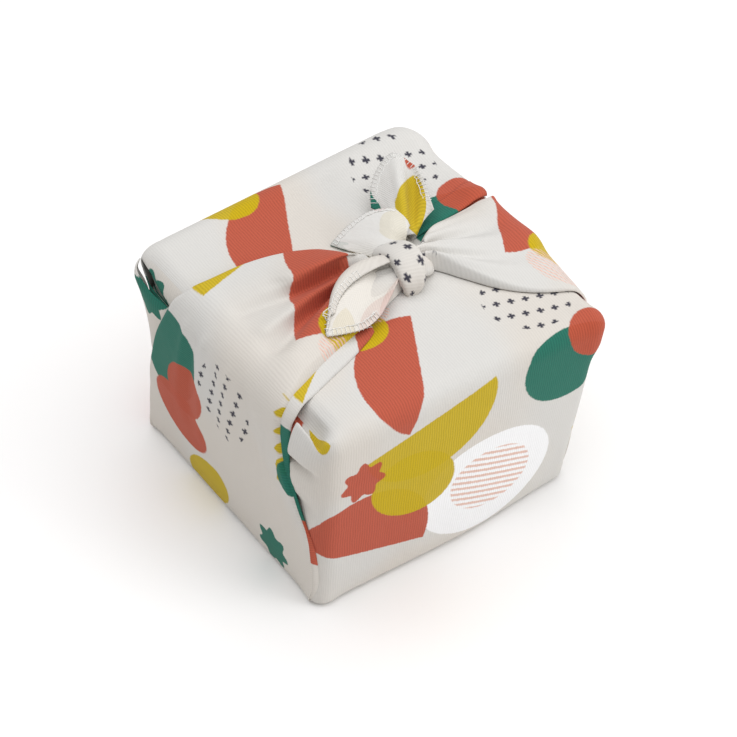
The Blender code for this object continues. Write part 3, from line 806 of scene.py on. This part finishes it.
knotBand = {
    "cells": (56, 56),
    "wideWay": (1, 0, 0),
    "shoulders": 0.07,  # the band is the cloth folded lengthways
    # where round it (radians), how far it drifts on its way, half width, depth
    "creases": ((-2.3, 0.5, 0.3, 0.13), (-1.35, -0.5, 0.26, 0.07), (-0.6, 0.3, 0.3, 0.12)),
    "creaseEnds": 1.15,  # 1 would leave no creases halfway
    "plan": ((0.242, 0.048), (-0.008, 0.0065)),  # on the flat cloth: along it, and round it from its top
    "rows": (
        # share of its length, x, y, z, half width, half depth
        (0, 10, 12, 116, 6, 3.6), (0.18, 11, 7.5, 123.5, 7.4, 4.2),
        (0.4, 12.5, -1, 129.5, 8.4, 4.4), (0.6, 12, -9.5, 130.5, 8.4, 4.2),
        (0.8, 9.5, -17.5, 125.5, 7.4, 4), (1, 7.5, -19.5, 117.5, 5, 3),
    ),
}
knotUnder = {
    "cells": (36, 40),
    "wideWay": (0, 1, 0),
    "ripple": 0.06,
    "rippleTwist": 2,
    "plan": (-0.29, 0.02, 0.02),  # on the flat cloth: from, along it and round it
    "rows": (
        (0, 2, -5, 121, 8, 3.8), (0.3, 10, -6, 122.5, 9.6, 5.4), (0.6, 19, -8, 123, 8, 5.4),
        (0.85, 23, -9, 122, 6.6, 4.4), (1, 27, -9, 120.5, 5, 3),
    ),
}
# free ends as ribs from the knot to the cut edge: share across, then x, y, z halfway and at the edge
# (mm); neck: middle, the way its width lies, half width and height, first turn and turn to last (degrees)
ear = {
    "side": -1,
    "cells": (44, 64),
    "neck": ((23, 9, 123), (1, 0, 0), 8, 3.4, 180, -180),
    "rows": (
        (0, 23, 23.5, 125, 23, 35, 125), (0.15, 25, 26, 127, 27.5, 42, 129),
        (0.3, 28, 27.5, 129.5, 34.5, 48, 133), (0.45, 31.5, 29, 132, 41.5, 50.5, 136.5),
        (0.55, 34, 27.5, 134.5, 46, 50.5, 138), (0.63, 36, 26, 133, 48.5, 47, 137.5),
        (0.71, 39, 27, 128.5, 50, 43, 136.5), (0.8, 41.5, 25.5, 127, 51.5, 38.5, 135.5),
        (0.89, 41.5, 20.5, 128.5, 50, 30, 134), (0.95, 40.5, 16.5, 127.5, 47, 20.5, 131),
        (1, 38.5, 13.5, 125.5, 45, 14.5, 129.5),
    ),
}
lobe = {
    "side": -1,
    "cells": (36, 44),
    "neck": ((14, 6, 123), (1, 0, 0), 8, 4.0, 180, -180),
    "rows": (
        (0, -0.5, 17.5, 121.5, -5.5, 28, 120), (0.2, 5, 17.5, 126, -1, 29.5, 121.5),
        (0.4, 11.5, 17, 129, 8, 31, 125), (0.6, 16.5, 16, 131, 17.5, 30.5, 128),
        (0.8, 20.5, 14, 132, 26, 26, 130), (0.9, 24, 11.5, 131, 30.5, 20.5, 130),
        (1, 25, 8.5, 129, 29, 12, 128),
    ),
}
leaf = {
    "side": 1,
    "cells": (44, 64),
    "neck": ((6, -5, 127), (0, 1, 0), 7, 4, 100, -290),
    "rows": (
        (0, -19, -8, 130.5, -36, -18.5, 128.5), (0.1, -19, -3.5, 132.5, -39.5, -19.5, 129.5),
        (0.22, -20, -1, 130.5, -42.5, -22.5, 128), (0.34, -22.5, -6, 129.5, -45.5, -25.5, 126),
        (0.48, -22.5, -13, 128.5, -45.5, -27, 125.5), (0.64, -19.5, -19, 126, -37, -29.5, 125),
        (0.8, -14, -22, 126, -28.5, -31, 124.5), (0.9, -10, -22, 126.5, -22, -30, 124.5),
        (1, -5, -21, 127, -15.5, -27.5, 125),
    ),
}
cornerReach = 353.5 * mm  # half the diagonal of the square cloth
knotReach = 300 * mm  # how far out along it the knot sits
neckPlan, edgePlan = 26 * mm, 44 * mm  # half a free end's width on the flat cloth, at the knot and edge


def freeEndSurface(end):
    # along runs from the knot to the cut edge, across from the first rib to the last
    middle, wideWay, halfWidth, halfHeight, firstTurn, wholeTurn = end["neck"]

    def surface(along, across):
        row = readRows(end["rows"], across)
        half, edge = Vector(row[:3]), Vector(row[3:])
        turn = math.radians(firstTurn + wholeTurn * across)
        start = Vector(middle) + Vector(wideWay) * (halfWidth * math.cos(turn))
        start.z += halfHeight * math.sin(turn)
        pull = half * 2 - (start + edge) / 2
        rest = 1 - along
        place = (start * rest * rest + pull * 2 * along * rest + edge * along * along) * mm
        offMiddle = 2 * across - 1
        neckSpot = Vector((knotReach, offMiddle * neckPlan))
        edgeSpot = Vector((cornerReach - abs(offMiddle) * edgePlan, offMiddle * edgePlan))
        plan = neckSpot * rest + edgeSpot * along
        return place, (end["side"] * plan.x, plan.y)

    return surface


def bandRipple(share, turn):
    creases = sum(
        depth * math.exp(-((turn - at - drift * (share - 0.5)) / width) ** 2)
        for at, drift, width, depth in knotBand["creases"]
    )
    gather = knotBand["creaseEnds"] - math.sin(math.pi * share)
    return -knotBand["shoulders"] * math.cos(4 * turn) - creases * gather


def bandPlan(share, turn):
    # measured round the band from its top, so the print keeps its shape there
    fromTop = (turn - math.pi / 2) % (2 * math.pi) - math.pi
    (x, lengthways), (y, around) = knotBand["plan"]
    return (x + lengthways * share, y + around * fromTop)


def underRipple(share, turn):
    return knotUnder["ripple"] * math.sin(4 * turn + knotUnder["rippleTwist"] * share)


def underPlan(share, turn):
    x, lengthways, across = knotUnder["plan"]
    return (x + lengthways * share, across * math.sin(turn))


shell = makeShell()
print("wrap: shell", len(shell.data.polygons))
clothParts = [
    shell,
    sheetObject("flapFront", flapSurface(frontFlap), frontFlap["cells"], cloths, flip=True),
    sheetObject("flapBack", flapSurface(backFlap), backFlap["cells"], cloths),
    sheetObject("pleat", pleatSurface, pleat["cells"], cloths, flip=True),
    sheetObject("tuck", tuckSurface, tuck["cells"], cloths),
    sheetObject("backLip", backLipSurface, backLip["cells"], cloths),
]
for name, *where, cells in innerLayers:
    clothParts.append(sheetObject(name, innerSurface(*where), cells, cloths))
cloth = joinedObject("wrappedCloth", clothParts)
print("wrap: cloth", len(cloth.data.polygons))

knotParts = [
    bundleObject("band", knotBand, bandPlan, bandRipple, cloths),
    bundleObject("under", knotUnder, underPlan, underRipple, cloths),
    sheetObject("ear", freeEndSurface(ear), ear["cells"], reverseUp),
    sheetObject("lobe", freeEndSurface(lobe), lobe["cells"], cloths),
    sheetObject("leaf", freeEndSurface(leaf), leaf["cells"], reverseUp),
]
knot = joinedObject("knotAndEnds", knotParts)
print("wrap: knot", len(knot.data.polygons))

# overlock stitching over the cut edge, with a line of thread on both sides where the needle went
thread = {
    "radius": 0.18 * mm,
    "pitch": 2.2 * mm,
    "depth": 3.3 * mm,
    "depthVaries": (0.08, 2.4),  # by this share, and radians from stitch to stitch
    "halfWidth": 0.28,  # of a stitch, in pitches
    "sides": 5,
    "bedded": 0.8,  # how much of its radius stands off the cloth
    # one stitch round the edge: shares of its depth and half width, and gaps up and past the edge
    "path": (
        (1, -1, 0.6, 0), (0.6, -0.4, 1, 0), (0.1, 0, 1, 0), (0, 0, 0, 1), (0.1, 0.6, -1, 0),
        (0.6, 0.9, -1, 0), (1, 1, -0.6, 0),
    ),
    "needle": ((-1.6, 0.7), (0, 1.3)),  # its thread by each stitch: half widths along, and gaps up
    "colours": ("#d9d8d4", "#f2f1ee"),  # painted shade between the plies, and the thread's white on them
    "plyScale": 400.0,
    "plyDepth": 0.1 * mm,
    "shader": {"Roughness": 0.7, "IOR": 1.5},
}

# two-ply cotton thread, spun and bleached: matt white, painted darker between the plies as shade, with a
# slight lustre where the plies turn
spun, spunTree, spunShader = newMaterial("spunCottonThread", thread["shader"])
spot = addNode(spunTree, "TexCoord")["Object"]
plies = {"Vector": spot, "Scale": thread["plyScale"], "Distortion": 1.0}
plies = addNode(spunTree, "TexWave", {"bands_direction": "DIAGONAL"}, plies)["Fac"]
paintedPlyShade, plyColour = (linear(colour) for colour in thread["colours"])
colour = {"A": paintedPlyShade, "B": plyColour, "Factor": plies}
colour = addNode(spunTree, "Mix", {"data_type": "RGBA"}, colour)["Result"]
spunTree.links.new(colour, spunShader["Base Color"])
relief = {"Height": plies, "Strength": 0.4, "Distance": thread["plyDepth"]}
relief = addNode(spunTree, "Bump", None, relief)["Normal"]
spunTree.links.new(relief, spunShader["Normal"])
print("wrap: thread material")


def addTube(bm, path):
    # a thread along a path of points
    crossWay = Vector((0.3, 0.2, 0.93))  # no part of a stitch runs this way
    sides, radius = thread["sides"], thread["radius"]
    rings = []
    for index, point in enumerate(path):
        ahead = (path[min(index + 1, len(path) - 1)] - path[max(index - 1, 0)]).normalized()
        side = ahead.cross(crossWay).normalized()
        rise = ahead.cross(side)
        rings.append([
            bm.verts.new(point + (side * math.cos(turn) + rise * math.sin(turn)) * radius)
            for turn in (2 * math.pi * k / sides for k in range(sides))
        ])
    for ring, following in zip(rings, rings[1:]):
        for k in range(sides):
            m = (k + 1) % sides
            bm.faces.new((ring[k], ring[m], following[m], following[k]))
    bm.faces.new(rings[0])
    bm.faces.new(reversed(rings[-1]))


def addStitches(bm, surface, start, end):
    # overlock along the edge of a surface from start to end, both (along, across)
    nearIn, nearOn, samples = 0.02, 0.01, 60  # steps aside and along, and points in all

    def frameAt(share):
        # a point of the edge, and the ways in from it, along it and out of the cloth
        along, across = (between(*ends, share) for ends in zip(start, end))
        point = surface(along, across)[0]
        if start[0] == end[0]:
            inside = along + (nearIn if along < 0.5 else -nearIn), across
        else:
            inside = along, across + (nearIn if across < 0.5 else -nearIn)
        inward = (surface(*inside)[0] - point).normalized()
        step = nearOn if share < 0.5 else -nearOn
        near = surface(*(between(*ends, share + step) for ends in zip(start, end)))[0]
        run = (near - point).normalized() * (1 if step > 0 else -1)
        inward = (inward - run * inward.dot(run)).normalized()
        return point, inward, run, inward.cross(run)

    points = [frameAt(k / samples)[0] for k in range(samples + 1)]
    lengths = [0.0]
    for before, after in zip(points, points[1:]):
        lengths.append(lengths[-1] + (after - before).length)
    pitch = thread["pitch"]
    varies, wave = thread["depthVaries"]
    gap = wrap["cloth"] / 2 + thread["radius"] * thread["bedded"]
    needles = {1: [], -1: []}
    for k in range(int(lengths[-1] / pitch)):
        wanted = (k + 0.5) * pitch
        index = max(i for i in range(samples + 1) if lengths[i] <= wanted)
        past = (wanted - lengths[index]) / (lengths[index + 1] - lengths[index])
        point, inward, run, normal = frameAt((index + past) / samples)
        half = run * pitch * thread["halfWidth"]
        deep = inward * (thread["depth"] * (1 + varies * math.sin(k * wave)))
        addTube(bm, [
            point + deep * inShare + half * onShare + (normal * up - inward * beyond) * gap
            for inShare, onShare, up, beyond in thread["path"]
        ])
        for side, line in needles.items():
            for onShare, up in thread["needle"]:
                line.append(point + deep + half * onShare + normal * side * up * gap)
    for line in needles.values():
        addTube(bm, line)


bm = bmesh.new()
for surface, start, end in (
    (freeEndSurface(ear), (1.0, 0.02), (1.0, 0.98)),
    (freeEndSurface(lobe), (1.0, 0.02), (1.0, 0.9)),
    (freeEndSurface(leaf), (0.35, 0.0), (1.0, 0.0)),
    (freeEndSurface(leaf), (1.0, 0.02), (1.0, 0.98)),
    (pleatSurface, (1.0, 0.05), (1.0, 0.95)),
):
    addStitches(bm, surface, start, end)
bmesh.ops.recalc_face_normals(bm, faces=bm.faces)
overlock = meshObject("overlockThread", bm, (spun,))
print("wrap: overlock", len(overlock.data.polygons))

for piece in (cloth, knot, overlock):
    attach(piece, "root")
    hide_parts("cloth")

studio = {
    "floorSize": 6.0,
    "floorColour": "#faf9f8",
    "floorRoughness": 0.9,
    "skyColour": "#fbfaf9",
    "skyStrength": 0.42,
    "lamps": (
        # name, place, where it points, size (m), watts, colour
        ("overheadPanel", (0.0, 0.1, 1.8), (0, 0, 0.1), 2.6, 37, "#fcfdff"),
        ("rightPanel", (1.3, -1.5, 0.7), (0, 0, 0.06), 1.2, 14, "#ffffff"),
    ),
}
view = {
    "azimuth": -38.61,
    "elevation": 44.59,
    "roll": 4.43,
    "aim": (0.0374, 0.0455, 0.0),
    "distance": 1.6,
    "lens": 152.5,  # mm
}

bm = bmesh.new()
bmesh.ops.create_grid(bm, x_segments=1, y_segments=1, size=studio["floorSize"] / 2)
paint = {"Base Color": linear(studio["floorColour"]), "Roughness": studio["floorRoughness"]}
painted = newMaterial("mattPaintedBoard", paint)[0]
floor = meshObject("studioFloor", bm, (painted,))

world = bpy.data.worlds.new("studioSky")
world.use_nodes = True
sky = world.node_tree.nodes["Background"]
sky.inputs["Color"].default_value = linear(studio["skyColour"])
sky.inputs["Strength"].default_value = studio["skyStrength"]
bpy.context.scene.world = world
for name, place, aim, size, watts, colour in studio["lamps"]:
    lamp = bpy.data.lights.new(name, "AREA")
    lamp.size = size
    lamp.energy = watts
    lamp.color = linear(colour)[:3]
    holder = addObject(name, lamp)
    holder.location = place
    holder.rotation_euler = (Vector(aim) - Vector(place)).to_track_quat("-Z", "Y").to_euler()

azimuth, elevation, roll = (math.radians(view[key]) for key in ("azimuth", "elevation", "roll"))
turn = Euler((math.pi / 2 - elevation, 0, azimuth)).to_matrix() @ Matrix.Rotation(roll, 3, "Z")
lens = bpy.data.cameras.new("lens")
lens.lens = view["lens"]
camera = addObject("camera", lens)
place = Vector(view["aim"]) + turn.col[2] * view["distance"]
camera.matrix_world = Matrix.Translation(place) @ turn.to_4x4()
bpy.context.scene.camera = camera
bpy.context.scene.view_settings.view_transform = "Standard"
print("wrap: studio, lamps", len(studio["lamps"]))
